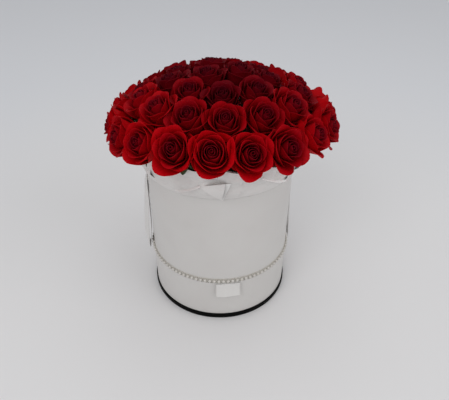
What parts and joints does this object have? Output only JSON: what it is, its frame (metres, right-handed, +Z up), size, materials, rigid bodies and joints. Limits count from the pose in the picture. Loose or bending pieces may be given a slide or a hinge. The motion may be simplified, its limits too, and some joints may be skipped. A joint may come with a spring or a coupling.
{
  "type": "flower box with roses",
  "caption": "Round two-tier white paper flower box with a pull-out drawer, ribbon handles, a pearl trim on a black base, and a lift-out insert with a dome of red roses.",
  "frame": {"origin": "on the table, under the middle of the round base", "axes": "+Z up along the box's axis, -Y out through the drawer front, +X to the right-hand handle"},
  "size_m": [0.368, 0.3677, 0.4225],
  "materials": {
    "black_felt": "matte",
    "black_paper": "matte",
    "grey_board": "matte",
    "white_cover": "satin",
    "lining_paper": "matte",
    "lining_board": "matte",
    "gilt_tape": "satin",
    "pearl": "gloss",
    "eyelet_metal": "polished",
    "satin_ribbon": "satin",
    "tub_plastic": "satin",
    "riser_card": "matte",
    "wet_foam": "matte",
    "collar_paper": "satin",
    "rose_petal": "matte",
    "rose_green": "matte",
    "rose_stem": "matte"
  },
  "bodies": {
    "box": {"base_pad": "black_felt", "base_board": "grey_board", "base_wrap": "black_paper", "box_tube": "grey_board", "cover_paper": "white_cover", "lining_paper": "lining_paper", "divider_disc": "lining_board", "divider_cleat": "grey_board", "trim_tape": "gilt_tape", "trim_pearls": "pearl", "eyelet_left": "eyelet_metal", "eyelet_right": "eyelet_metal", "handle_tail_left": "satin_ribbon", "handle_tail_right": "satin_ribbon"},
    "drawer": {"drawer_front": "grey_board", "drawer_front_paper": "white_cover", "drawer_floor": "lining_board", "drawer_wall": "lining_board", "drawer_lining": "lining_paper", "tab_anchor": "satin_ribbon"},
    "tab": {"pull_tab": "satin_ribbon"},
    "handle_left": {"handle_left": "satin_ribbon"},
    "handle_right": {"handle_right": "satin_ribbon"},
    "insert": {"liner_tub": "tub_plastic", "riser_block": "riser_card", "foam_left": "wet_foam", "foam_right": "wet_foam", "paper_collar": "collar_paper", "blooms_top": "rose_petal", "hips_top": "rose_green", "stems_top": "rose_stem", "blooms_ring_1": "rose_petal", "hips_ring_1": "rose_green", "stems_ring_1": "rose_stem", "blooms_ring_2": "rose_petal", "hips_ring_2": "rose_green", "stems_ring_2": "rose_stem", "blooms_ring_3": "rose_petal", "hips_ring_3": "rose_green", "stems_ring_3": "rose_stem"}
  },
  "joints": [
    {"name": "drawer_slide", "type": "slide", "parent": "box", "child": "drawer", "axis": [0, -1, 0], "range_m": [0, 0.14]},
    {"name": "tab_lift", "type": "hinge", "parent": "drawer", "child": "tab", "pos_m": [0, -0.1263, 0.0862], "axis": [-1, 0, 0], "range_deg": [0, 85]},
    {"name": "handle_left_swing", "type": "hinge", "parent": "box", "child": "handle_left", "pos_m": [-0.1265, 0, 0.238], "axis": [0, 1, 0], "range_deg": [0, 120]},
    {"name": "handle_right_swing", "type": "hinge", "parent": "box", "child": "handle_right", "pos_m": [0.1265, 0, 0.238], "axis": [0, -1, 0], "range_deg": [0, 120]},
    {"name": "insert_lift", "type": "slide", "parent": "box", "child": "insert", "axis": [0, 0, 1], "range_m": [0, 0.18]}
  ]
}
